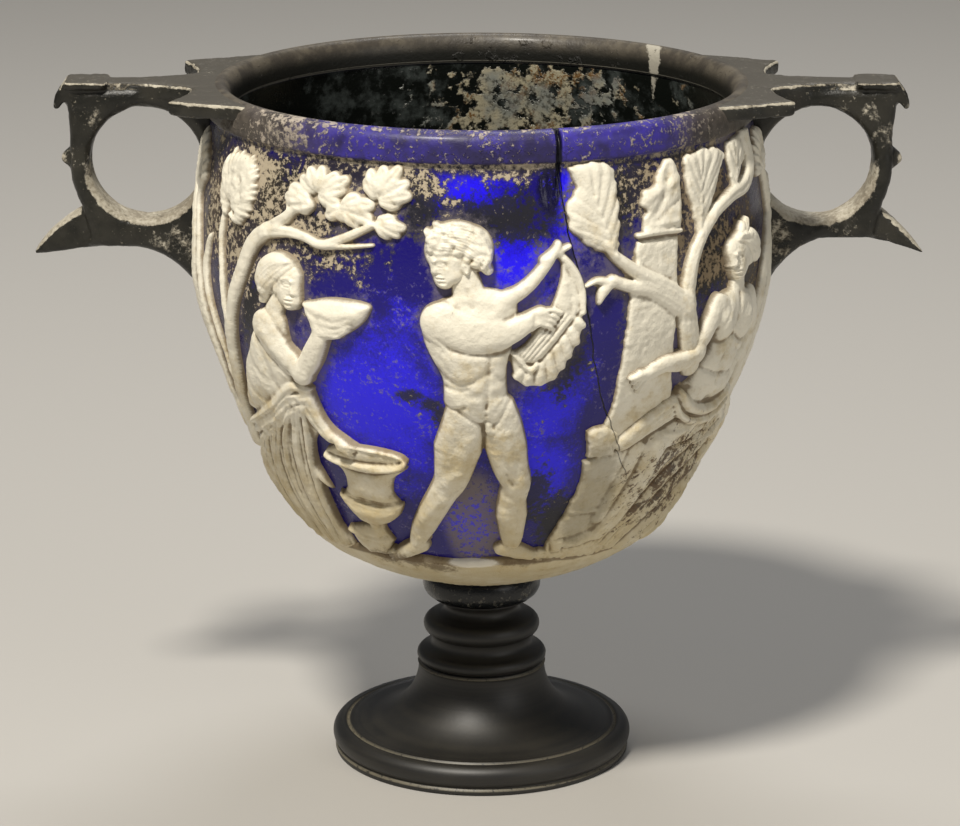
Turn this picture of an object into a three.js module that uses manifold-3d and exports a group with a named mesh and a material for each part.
// A cup of cased glass, blue under a carved white layer, standing on a dark turned foot.
// Millimetres, +Z up. The front of the cup faces -Y and its handles point along X.
// The origin is the centre of the foot's underside.
import * as THREE from 'three';
import { mergeVertices } from 'three/addons/utils/BufferGeometryUtils.js';
import Module from 'manifold-3d';

const wasm = await Module();
wasm.setup();

// Heights of the whole object
const CUP_TOP = 137.5;
const CUP_BOTTOM = 32.45;
const STAND_TOP = 32.15;

// Bowl: radius and height of the blue wall from the groove under the lip down to the base knob
const BOWL_WALL = [
  [52.6, 131], [54, 122], [55.2, 111], [55.4, 99], [52.6, 87], [48.4, 76],
  [43.9, 66], [38.9, 57], [33.7, 49.5], [26.5, 44.6], [19, 41.3], [11.5, 38.6],
];
const WALL_THICKNESS = 4;
const GROUND_LINE = 51.8;
const GROUND_RISE = 1.2;
const KNOB = { radius: 11.8, height: 34.6, underside: 10.2 };
const LIP = { outer: 53.4, crest: 50.8, inner: 48.6, base: 131.6 };

// Handles: a ring, a thumb plate level with the lip and a pointed spur below
const RING = { x: 65.3, z: 121.4, hole: 11, width: 9 };
const HANDLE_OUT = 80.9;
const STRUT_UNDERSIDE = 104.6;
const SPUR = { root: [78.3, 112], tip: [88, 102.9], width: 6 };
const PLATE = { top: 137.3, thickness: 3.1, wing: [59.5, 21.5], notch: [56, 8], neck: [72.4, 3.2], end: [80.3, 4] };

// Foot
const FLANGE = { radius: 30.2, height: 1.6 };
const BEAD = { radius: 27.6, height: 3.9, round: 1.8 };
const TRUMPET = { bottom: 26.6, low: 5.6, top: 12.7, high: 18 };
const FOOT_RINGS = [{ radius: 13, height: 19.8, half: 1.7 }, { radius: 11.7, height: 26.2, half: 2.1 }];
const FOOT_NECKS = [10, 7.3];

// Facets
const BOWL_SIDES = 32;
const FOOT_SIDES = 28;
const HOLE_STEPS = 10;
const SECTION_SIDES = 4;
const SINK = 1;

// How far the carved layer stands out
const BODY_RISE = 2.8;
const LIMB_RISE = 3;
const CLOTH_RISE = 2.2;
const BRANCH_RISE = 2;
const LEAF_RISE = 1.6;
const PILLAR_RISE = 1.2;

const GLASS = new THREE.MeshStandardMaterial({ color: 0x1a1690, roughness: 0.25, metalness: 0 });
const DARK_FOOT = new THREE.MeshStandardMaterial({ color: 0x14120f, roughness: 0.4, metalness: 0 });

const vector2s = (pairs) => pairs.map(([x, y]) => new THREE.Vector2(x, y));
const mix = (a, b, t) => a + (b - a) * t;

// A closed geometry as a solid, with its shared corners merged and its empty triangles dropped.
function solid(geometry) {
  geometry.deleteAttribute('normal');
  geometry.deleteAttribute('uv');
  const merged = mergeVertices(geometry, 1e-4);
  const index = merged.index.array;
  const kept = [];
  for (let i = 0; i < index.length; i += 3) {
    const [a, b, c] = [index[i], index[i + 1], index[i + 2]];
    if (a !== b && b !== c && c !== a) kept.push(a, b, c);
  }
  const vertProperties = new Float32Array(merged.attributes.position.array);
  return new wasm.Manifold(new wasm.Mesh({ numProp: 3, vertProperties, triVerts: new Uint32Array(kept) }));
}

function mesh(name, manifold, material) {
  const { vertProperties, triVerts, numProp } = manifold.getMesh();
  const geometry = new THREE.BufferGeometry();
  const position = new Float32Array(triVerts.length * 3);
  triVerts.forEach((vertex, i) => {
    for (let k = 0; k < 3; k++) position[3 * i + k] = vertProperties[numProp * vertex + k];
  });
  geometry.setAttribute('position', new THREE.BufferAttribute(position, 3));
  const part = new THREE.Mesh(mergeVertices(geometry, 1e-5), material);
  part.geometry.computeVertexNormals();
  part.name = name;
  return part;
}

const join = (solids) => solids.reduce((whole, next) => whole.add(next));

// A turned solid from radius and height pairs that run up from the axis and back to it.
function turned(profile, sides) {
  return solid(new THREE.LatheGeometry(vector2s(profile), sides).rotateX(Math.PI / 2));
}

const arc = (radius, height, round, from, to, steps) => Array.from({ length: steps + 1 }, (_, i) => {
  const angle = THREE.MathUtils.degToRad(mix(from, to, i / steps));
  return [radius + round * Math.cos(angle), height + round * Math.sin(angle)];
});

// The bowl's wall as a smooth curve, read by height: its radius and the slope of its outward normal.
const WALL_SAMPLES = 240;
const wallCurve = new THREE.SplineCurve(vector2s(BOWL_WALL));
const wallPoints = wallCurve.getPoints(WALL_SAMPLES);

function wallAt(z) {
  let i = wallPoints.findIndex((point) => point.y <= z);
  i = THREE.MathUtils.clamp(i < 0 ? WALL_SAMPLES : i, 1, WALL_SAMPLES);
  const [upper, lower] = [wallPoints[i - 1], wallPoints[i]];
  const t = (z - lower.y) / (upper.y - lower.y);
  const length = upper.distanceTo(lower);
  return {
    radius: mix(lower.x, upper.x, t),
    out: (upper.y - lower.y) / length,
    up: (lower.x - upper.x) / length,
  };
}

// A point over the bowl: degrees round from the front towards +X, a height, and a lift off the wall.
function onBowl(degrees, z, lift) {
  const wall = wallAt(z);
  const radius = wall.radius + wall.out * lift;
  const angle = THREE.MathUtils.degToRad(degrees);
  return new THREE.Vector3(radius * Math.sin(angle), -radius * Math.cos(angle), z + wall.up * lift);
}

// One carved form: a rounded strip laid on the bowl through places [degrees, z] of given half widths,
// standing out by rise, with its underside sunk into the wall.
function strip({ places, halves, rise }) {
  const rises = Array.isArray(rise) ? rise : places.map(() => rise);
  const path = new THREE.SplineCurve(vector2s(places));
  const size = new THREE.SplineCurve(vector2s(halves.map((half, i) => [half, rises[i]])));
  const steps = places.length - 1;
  const ring = SECTION_SIDES + 1;
  const corners = [];
  for (let i = 0; i <= steps; i++) {
    const centre = path.getPoint(i / steps);
    const along = path.getPoint(Math.min(1, (i + 0.1) / steps)).sub(path.getPoint(Math.max(0, (i - 0.1) / steps)));
    const wall = wallAt(centre.y);
    const degreeLength = THREE.MathUtils.degToRad(wall.radius);
    along.set(along.x * degreeLength, along.y / wall.out).normalize();
    const { x: half, y: height } = size.getPoint(i / steps);
    for (let k = 0; k < ring; k++) {
      const turn = Math.PI * k / SECTION_SIDES;
      const across = half * Math.cos(turn);
      const lift = (height + SINK) * Math.sin(turn) - SINK;
      const degrees = centre.x - along.y * across / degreeLength;
      corners.push(...onBowl(degrees, centre.y + along.x * across * wall.out, lift));
    }
  }
  const faces = [];
  for (let i = 0; i < steps; i++) {
    for (let k = 0; k < ring; k++) {
      const [a, b] = [i * ring + k, i * ring + (k + 1) % ring];
      faces.push(a, b, a + ring, b, b + ring, a + ring);
    }
  }
  const last = steps * ring;
  for (let k = 1; k < ring - 1; k++) {
    faces.push(0, k + 1, k, last, last + k, last + k + 1);
  }
  const geometry = new THREE.BufferGeometry();
  geometry.setAttribute('position', new THREE.Float32BufferAttribute(corners, 3));
  geometry.setIndex(faces);
  return solid(geometry);
}

const form = (rise, halves, ...places) => ({ places, halves, rise });
const turnedBy = (degrees, forms) => forms.map((item) => ({
  ...item,
  places: item.places.map(([angle, z]) => [angle + degrees, z]),
}));

// The musician in the middle of the front, walking with a lyre.
function lyrePlayer() {
  const hips = [[-4, 86], [3.2, 86]];
  const knees = [[-6.5, 69.7], [7.9, 69]];
  const ankles = [[-18, 55.4], [8.4, 55.4]];
  return [
    form([1.6, 2.8, 3, 2.2], [2.5, 5.4, 5.5, 3], [-4.8, 121.4], [-4.6, 118.6], [-4.8, 114], [-6, 110]),
    form(2, [2.8, 3.8], [-3.6, 112], [-2.6, 106.6]),
    form(BODY_RISE, [4, 8.1, 7.8, 6, 6.5, 4.2],
      [-2.8, 107.6], [-2.6, 103.5], [-2.3, 98.5], [-1.2, 91.5], [-0.6, 86.5], [0.6, 82.4]),
    form(3.6, [3, 2.7, 2.1, 1.5], [-8.9, 103.3], [-0.5, 100.1], [8.5, 101.2], [14, 103]),
    form(LIMB_RISE, [2.2, 1.9, 1.5], [4, 106.5], [8, 109.8], [14, 115]),
    form(LIMB_RISE, [4.6, 4.8, 3.5, 3.6, 1.8], hips[0], [-5.4, 77.5], knees[0], [-12, 63], ankles[0]),
    form(LIMB_RISE, [4.2, 4, 2.9, 3.1, 1.8], hips[1], [5.1, 77.5], knees[1], [7.6, 62], ankles[1]),
    form(1.8, [1.7, 1], ankles[0], [-25, 52]),
    form(1.8, [1.7, 1.1], [6.5, 53.6], [18.5, 52.4]),
    form(1.4, [1.6, 4.6, 3.8, 1.2], [8, 94], [12.5, 98], [16.5, 106], [16.4, 114.5]),
    form(2, [1, 2.2, 2.4, 1.8, 0.8], [7, 94.6], [11.5, 91.8], [16.4, 96], [18.4, 104], [16.8, 114.5]),
    form(1.4, [0.9, 0.9], [12, 117], [16.5, 113.5]),
  ];
}

// The figure that drinks from a shallow bowl, wrapped in cloth from the hips down.
function drinker() {
  const shoulder = [-44.8, 97.4];
  const elbow = [-37.4, 89.8];
  const folds = [0.15, 0.38, 0.6, 0.82].map((t) => form(CLOTH_RISE + 0.8, [0.9, 1.3, 0.9],
    [mix(-53, -42, t), 84], [mix(-62, -43, t), 68], [mix(-68, -48, t), 52.5]));
  return [
    form([1.4, 2.6, 2.7, 2], [1.6, 4.8, 5, 2.4], [-42, 112.4], [-41.8, 109.6], [-41.2, 105.6], [-39.6, 102.6]),
    form(2, [2.2, 1.6], [-46.2, 105.2], [-46.6, 102.4]),
    form(1.8, [2.4, 3], [-42.4, 103], [-43.2, 99]),
    form(BODY_RISE, [3.6, 6, 6.2, 6.5], [-44, 100], [-48, 93.5], [-50, 86.5], [-52.5, 79]),
    form(3.6, [2.9, 2.5, 2.1, 1.6], shoulder, [-40.8, 92.5], elbow, [-31, 98.6]),
    form(2.6, [0.8, 2.8, 3.2, 0.8], [-35.4, 104], [-30.5, 102.6], [-26.5, 102.2], [-21.8, 105]),
    form(CLOTH_RISE, [6.4, 10.2, 9.6, 8.6], [-46.5, 86], [-52, 78], [-53.5, 65], [-58, 51.8]),
    ...folds,
    form(2.2, [2, 1.7, 1.3], [-38.6, 86.4], [-36.6, 77.8], [-31, 75.6]),
  ];
}

// A basin on a foot: its outline is the half width down its middle.
function basin() {
  return [
    form(2.2, [8.6, 7.2, 5.8, 7, 2.6, 4.4, 5.2],
      [-27, 75.6], [-27.2, 72.4], [-27.8, 68], [-29, 62.8], [-29.6, 58.2], [-30.6, 55.4], [-31.4, 51.8]),
    form(2.8, [1.2, 1.5, 1.2], [-36.6, 73.6], [-27, 72.6], [-17.4, 73.8]),
  ];
}

// The seated figure, cloth over the legs, with one arm stretched out over the rocks.
function seatedFigure() {
  const knee = [31, 76];
  const folds = [0.2, 0.5, 0.8].map((t) => form(CLOTH_RISE + 0.7, [0.9, 1.4, 0.9],
    [mix(44, 58, t), mix(80, 76, t)], [mix(36, 54, t), 66], [mix(31, 49, t), 53.5]));
  return [
    form([1.6, 2.8, 2.8, 2], [1.8, 4.3, 4.4, 2.4], [61, 115], [60.6, 112.4], [59.6, 108.4], [58.2, 105]),
    form(1.8, [2.1, 2.8], [58.4, 105.6], [57.8, 101.5]),
    form(BODY_RISE, [3, 5.4, 4.3, 5.6], [58.4, 102.6], [57.2, 98], [54.4, 90.5], [56, 83.5]),
    form(LIMB_RISE, [2.4, 2.1, 1.6, 1.4], [53, 101.4], [46.4, 94], [35.5, 93.8], [31.6, 90]),
    form(2.4, [2, 1.8, 1.5], [63.6, 100], [65.5, 93], [62, 87]),
    form(3.2, [6, 5, 3.8], [56.5, 82], [43.5, 81], knee),
    form(BODY_RISE, [3.8, 3.2, 1.8], knee, [27.4, 66], [24, 57]),
    form(1.6, [1.4, 1], [24.2, 56.6], [20.2, 54.4]),
    form(CLOTH_RISE, [6.6, 9, 7.6], [57.5, 76], [49, 65], [43, 53.4]),
    ...folds,
    form(1.5, [2.7, 2.9], [23, 78.6], [29, 77.4]),
    form(1.3, [4, 4.4, 4.2], [26.6, 74.5], [25.4, 64], [23.4, 53.5]),
  ];
}

// A tree that leans in over the drinker, with a slim stem and one tall leaf beside it.
function leaningTree() {
  const fork = [-47.6, 115];
  return [
    form(BRANCH_RISE, [2.6, 2.1, 1.9, 1.9], [-69, 70.5], [-62.4, 85.4], [-55.6, 104], fork),
    form(BRANCH_RISE, [1.8, 1.6, 1.2], fork, [-42.4, 118.4], [-37.6, 122.4]),
    form(BRANCH_RISE, [1.7, 1.6, 1.4, 1], fork, [-40.3, 116], [-33, 115.2], [-21.4, 120]),
    form(1.4, [1, 0.6], [-31, 115.2], [-22.8, 115.8]),
    form(LEAF_RISE, [1.2, 3.8, 3.4, 1.6], [-41.5, 122], [-37.4, 125], [-31, 127], [-26.5, 127.4]),
    form(LEAF_RISE, [2, 3, 2.8], [-35.5, 122.6], [-29, 124], [-22, 122.8]),
    form(LEAF_RISE, [1.4, 4.6, 4.2, 1.6], [-21.4, 121.8], [-19.6, 125], [-17, 128], [-14.4, 130]),
    form(LEAF_RISE, [1.6, 2.4, 1], [-21.4, 120.6], [-18, 120.4], [-14.6, 118.6]),
    form(1.5, [1.2, 1.5, 1.4, 1.3], [-74, 84], [-66, 96], [-62.8, 108], [-60.8, 117]),
    form(LEAF_RISE, [1.3, 3.4, 3.6, 1], [-60.8, 116], [-59, 120.5], [-57.8, 125.6], [-57, 130]),
  ];
}

// A forked tree with broad leaves behind the seated figure.
function forkedTree() {
  const fork = [42.8, 103.6];
  return [
    form(2.2, [3.2, 2.8, 2.6], [47, 87.5], [44.8, 96], fork),
    form(2.2, [2.2, 2, 1.8, 1.6], fork, [46, 112], [54, 120], [68, 127.2]),
    form(2.2, [2.2, 1.9, 1.6, 1.3], fork, [37, 107], [30, 111.4], [23.6, 116.6]),
    form(1.8, [1.5, 1.4, 1.3], [37.6, 106.6], [29, 108.2], [22.6, 108.4]),
    form(LEAF_RISE, [1.4, 5, 4.6, 1.2], [25.6, 115.6], [22.6, 121], [22.6, 126.4], [23.2, 131]),
    form(LEAF_RISE, [0.8, 2.4, 4, 2.6], [47.4, 114.6], [48.2, 120.6], [49.4, 126.6], [49.8, 130]),
    form(BRANCH_RISE, [2.4, 2, 1.6], [71, 72], [70, 90], [76, 108]),
  ];
}

// A square pillar with a moulded cap and a small block on top.
function pillar() {
  return [
    form(PILLAR_RISE, [5.4, 5, 4.8], [34, 90], [35.2, 104], [36.2, 116]),
    form(1.9, [1.2, 1.2], [31, 116.9], [41.6, 116.3]),
    form(PILLAR_RISE, [4.6, 3.6, 2], [36.6, 118], [37.4, 124.4], [38, 129]),
  ];
}

// A plain tree of one bent stem and two broad leaves, for the far side.
function plainTree(side) {
  return [
    form(BRANCH_RISE, [2.6, 2.1, 1.6], [40 * side, 53], [36 * side, 84], [44 * side, 114]),
    form(BRANCH_RISE, [1.8, 1.2], [37 * side, 98], [26 * side, 112]),
    form(LEAF_RISE, [1.4, 4.8, 3.6], [44 * side, 113], [46 * side, 122], [44 * side, 130]),
    form(LEAF_RISE, [1.4, 4.6, 2.4], [26 * side, 111], [22 * side, 120], [21 * side, 128]),
  ];
}

// A plain standing figure in a long garment with a staff, on the far side.
function standingFigure() {
  const folds = [-0.7, 0, 0.7].map((t) => form(CLOTH_RISE + 0.8, [0.8, 1.2, 0.9],
    [5 * t, 90], [8.5 * t, 72], [12 * t, 53.4]));
  return [
    form([1.4, 2.6, 2.6, 2], [1.8, 4.4, 4.5, 2.4], [0, 120.4], [0, 117.8], [0.4, 113.6], [0.8, 110.4]),
    form(1.8, [2.2, 3.2], [0.4, 111.5], [0, 107]),
    form(BODY_RISE, [4, 7.4, 6.4, 5.6], [0, 108], [0, 103.6], [0.4, 97], [0, 89]),
    form(CLOTH_RISE, [5.8, 7.6, 8.4, 8.4], [0, 90.5], [0, 80], [0, 66], [0, 52.2]),
    ...folds,
    form(LIMB_RISE, [2.4, 2.1, 1.5], [-7.4, 103.6], [-10.5, 95], [-14.6, 101.6]),
    form(LIMB_RISE, [2.4, 2.1, 1.5], [7.4, 103.6], [10, 94.6], [4, 90]),
    form(1.4, [0.9, 0.9, 0.9, 0.9], [-14.6, 118], [-15, 100], [-16.4, 76], [-18.5, 53.4]),
  ];
}

function carvedLayer() {
  const front = [lyrePlayer(), drinker(), basin(), seatedFigure(), leaningTree(), forkedTree(), pillar()];
  const back = [standingFigure(), plainTree(-1), plainTree(1)].map((forms) => turnedBy(180, forms));
  return join([...front, ...back].flat().map(strip));
}

// The outside of the bowl, from the underside of the knob up over the lip.
function bowlOutside() {
  const wallHeights = [122, 110, 99, 88, 76, 65, 57].map((z) => [wallAt(z).radius, z]);
  const groundHeights = [GROUND_LINE - 0.4, 47, 43.4, 40.4].map((z) => {
    const point = onBowl(0, z, GROUND_RISE);
    return [-point.y, point.z];
  });
  const down = [
    [LIP.crest, CUP_TOP], [LIP.outer - 0.6, CUP_TOP - 1.2], [LIP.outer, CUP_TOP - 3],
    [LIP.outer - 0.2, LIP.base + 0.5], [wallAt(LIP.base - 1).radius, LIP.base - 0.4],
    ...wallHeights, [wallAt(GROUND_LINE).radius, GROUND_LINE], ...groundHeights,
    [KNOB.radius - 0.8, 38.4], [KNOB.radius, KNOB.height], [KNOB.underside, CUP_BOTTOM],
  ];
  return turned([[0, CUP_BOTTOM], ...down.reverse(), [0, CUP_TOP]], BOWL_SIDES);
}

// The empty inside, carried on above the lip so that it cuts clean.
function bowlInside() {
  const inside = [122, 104, 88, 72, 60, 51].map((z) => {
    const point = onBowl(0, z, -WALL_THICKNESS);
    return [-point.y, point.z];
  });
  const clear = 4;
  const profile = [
    [0, 45.4], [16, 46.2], ...inside.reverse(), [LIP.inner, LIP.base], [LIP.inner + 0.1, CUP_TOP - 3],
    [LIP.inner + 0.8, CUP_TOP - 1], [LIP.crest - 0.6, CUP_TOP], [LIP.crest - 0.6, CUP_TOP + clear], [0, CUP_TOP + clear],
  ];
  return turned(profile, BOWL_SIDES);
}

// A flat outline given depth, centred on its own plane.
function slab(outline, depth, steps) {
  const options = { depth, bevelEnabled: false, curveSegments: steps };
  return new THREE.ExtrudeGeometry(outline, options).translate(0, 0, -depth / 2);
}

// One handle towards +X: the ring with its strut, the spur and the thumb plate.
function handle() {
  const upright = (outline, width, steps) => solid(slab(outline, width, steps).rotateX(Math.PI / 2));
  const rootInside = 51;
  const ring = new THREE.Shape();
  ring.moveTo(rootInside, PLATE.top - 1);
  ring.lineTo(PLATE.end[0] - 0.3, PLATE.top - 1);
  ring.lineTo(HANDLE_OUT + 0.6, 132.6);
  ring.lineTo(HANDLE_OUT - 0.2, 131.2);
  ring.lineTo(HANDLE_OUT - 0.3, 123.4);
  ring.lineTo(HANDLE_OUT + 1, 121.8);
  ring.lineTo(HANDLE_OUT - 0.5, 119.6);
  ring.lineTo(...SPUR.root);
  ring.lineTo(SPUR.root[0] - 1.5, STRUT_UNDERSIDE);
  ring.lineTo(RING.x + 2, STRUT_UNDERSIDE);
  ring.quadraticCurveTo(60, 103.6, 55.6, 96.6);
  ring.lineTo(rootInside, 97.4);
  ring.holes.push(new THREE.Path().absarc(RING.x, RING.z, RING.hole, 0, 2 * Math.PI, false));

  const spur = new THREE.Shape();
  spur.moveTo(SPUR.root[0] - 3, SPUR.root[1] - 1);
  spur.lineTo(...SPUR.root);
  spur.quadraticCurveTo(84, 108.6, ...SPUR.tip);
  spur.quadraticCurveTo(81.5, 104.6, SPUR.root[0] - 3.5, STRUT_UNDERSIDE);

  const plate = new THREE.Shape();
  const [wing, notch, neck, end] = [PLATE.wing, PLATE.notch, PLATE.neck, PLATE.end];
  plate.moveTo(43.5, -28);
  plate.quadraticCurveTo(52, -25, wing[0], -wing[1]);
  plate.quadraticCurveTo(55.6, -14, notch[0], -notch[1]);
  plate.quadraticCurveTo(61, -neck[1] - 0.6, neck[0], -neck[1]);
  plate.lineTo(neck[0] + 0.4, -end[1]);
  plate.lineTo(end[0], -end[1] + 0.5);
  plate.lineTo(end[0], end[1] - 0.5);
  plate.lineTo(neck[0] + 0.4, end[1]);
  plate.lineTo(...neck);
  plate.quadraticCurveTo(61, neck[1] + 0.6, ...notch);
  plate.quadraticCurveTo(55.6, 14, ...wing);
  plate.quadraticCurveTo(52, 25, 43.5, 28);
  const thumbRest = solid(slab(plate, PLATE.thickness, 4).translate(0, 0, PLATE.top - PLATE.thickness / 2));
  return join([upright(ring, RING.width, HOLE_STEPS), upright(spur, SPUR.width, 5), thumbRest]);
}

function cup() {
  const right = handle();
  const left = right.rotate([0, 0, 180]);
  const whole = join([bowlOutside(), right, left, carvedLayer()]);
  return whole.subtract(bowlInside());
}

function stand() {
  const trumpet = [0, 0.3, 0.65, 1].map((t) => {
    const angle = (1 - t) * Math.PI / 2;
    const reach = TRUMPET.bottom - TRUMPET.top;
    return [TRUMPET.bottom - reach * Math.cos(angle), TRUMPET.high - (TRUMPET.high - TRUMPET.low) * Math.sin(angle)];
  });
  const rings = FOOT_RINGS.flatMap(({ radius, height, half }, i) => [
    ...arc(radius - half, height, half, -60, 60, 3),
    [FOOT_NECKS[i], height + half + 1.5],
  ]);
  const profile = [
    [0, 0], [FLANGE.radius, 0], [FLANGE.radius, FLANGE.height - 0.4], [FLANGE.radius - 0.6, FLANGE.height],
    ...arc(BEAD.radius, BEAD.height, BEAD.round, -50, 100, 3), ...trumpet, ...rings,
    [FOOT_NECKS[1] + 2.4, STAND_TOP - 0.6], [FOOT_NECKS[1] + 2.6, STAND_TOP], [0, STAND_TOP],
  ];
  return turned(profile, FOOT_SIDES);
}

const cameoCup = new THREE.Group();
cameoCup.add(mesh('cup', cup(), GLASS));
cameoCup.add(mesh('stand', stand(), DARK_FOOT));

export default cameoCup;
